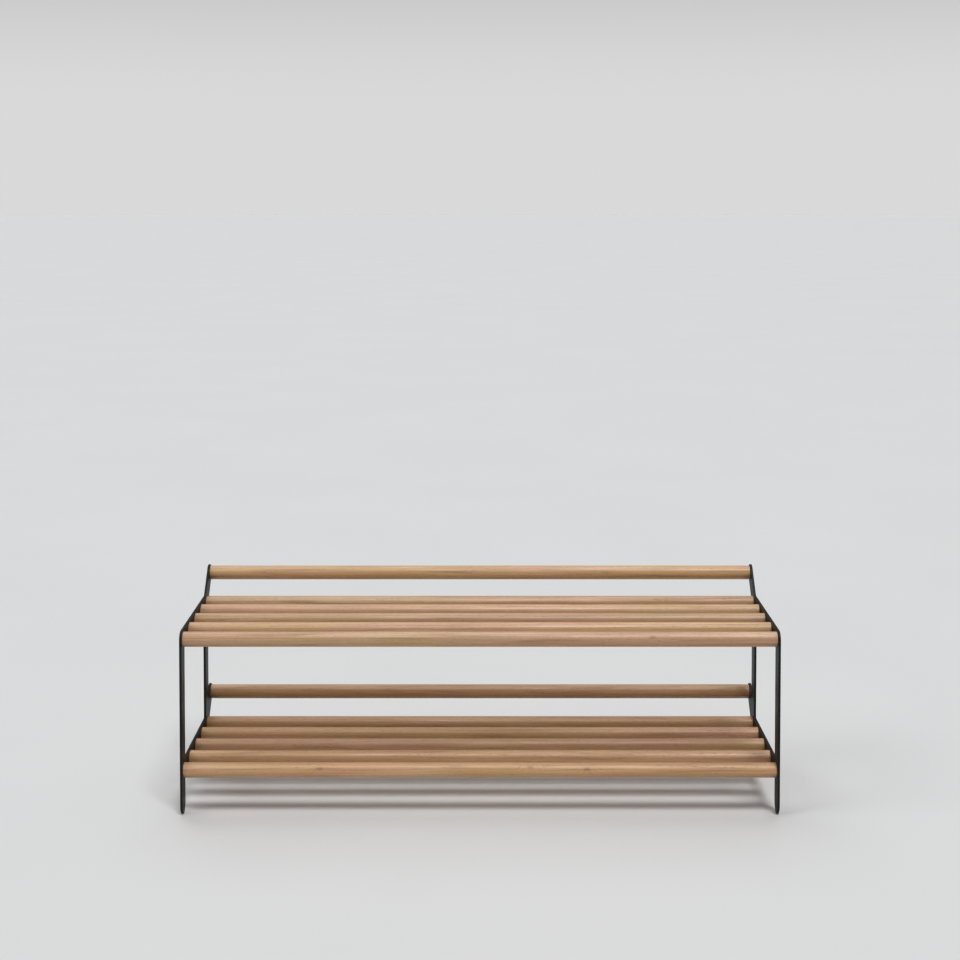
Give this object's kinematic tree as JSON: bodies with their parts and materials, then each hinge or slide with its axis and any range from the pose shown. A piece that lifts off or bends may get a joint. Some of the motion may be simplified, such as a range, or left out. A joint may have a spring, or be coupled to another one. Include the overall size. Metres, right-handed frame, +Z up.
{
  "type": "slatted shoe rack bench",
  "caption": "Low entryway bench: a seat and a shoe shelf of parallel round oak rods, each with a raised rear rail, between two flat black steel side frames.",
  "frame": {"origin": "centre of the footprint, on the floor", "axes": "+X along the rods towards the right end seen from the front, -Y out of the open front, +Z up"},
  "size_m": [1.008, 0.3226, 0.3571],
  "materials": {
    "oak": "oiled, satin",
    "black_steel": "fine-textured matt powder coat",
    "black_screws": "black oxide",
    "brass_inserts": "machined",
    "black_rubber": "matt"
  },
  "bodies": {
    "root": {"seat_rod_1": "oak", "seat_rod_2": "oak", "seat_rod_3": "oak", "seat_rod_4": "oak", "seat_rod_5": "oak", "shelf_rod_1": "oak", "shelf_rod_2": "oak", "shelf_rod_3": "oak", "shelf_rod_4": "oak", "shelf_rod_5": "oak", "seat_back_rail": "oak", "shelf_back_rail": "oak", "side_frame_left": "black_steel", "side_frame_right": "black_steel", "seat_screws_left": "black_screws", "seat_screws_right": "black_screws", "shelf_screws_left": "black_screws", "shelf_screws_right": "black_screws", "seat_inserts_left": "brass_inserts", "seat_inserts_right": "brass_inserts", "shelf_inserts_left": "brass_inserts", "shelf_inserts_right": "brass_inserts", "foot_glide_front_left": "black_rubber", "foot_glide_front_right": "black_rubber", "foot_glide_rear_left": "black_rubber", "foot_glide_rear_right": "black_rubber"}
  },
  "joints": []
}
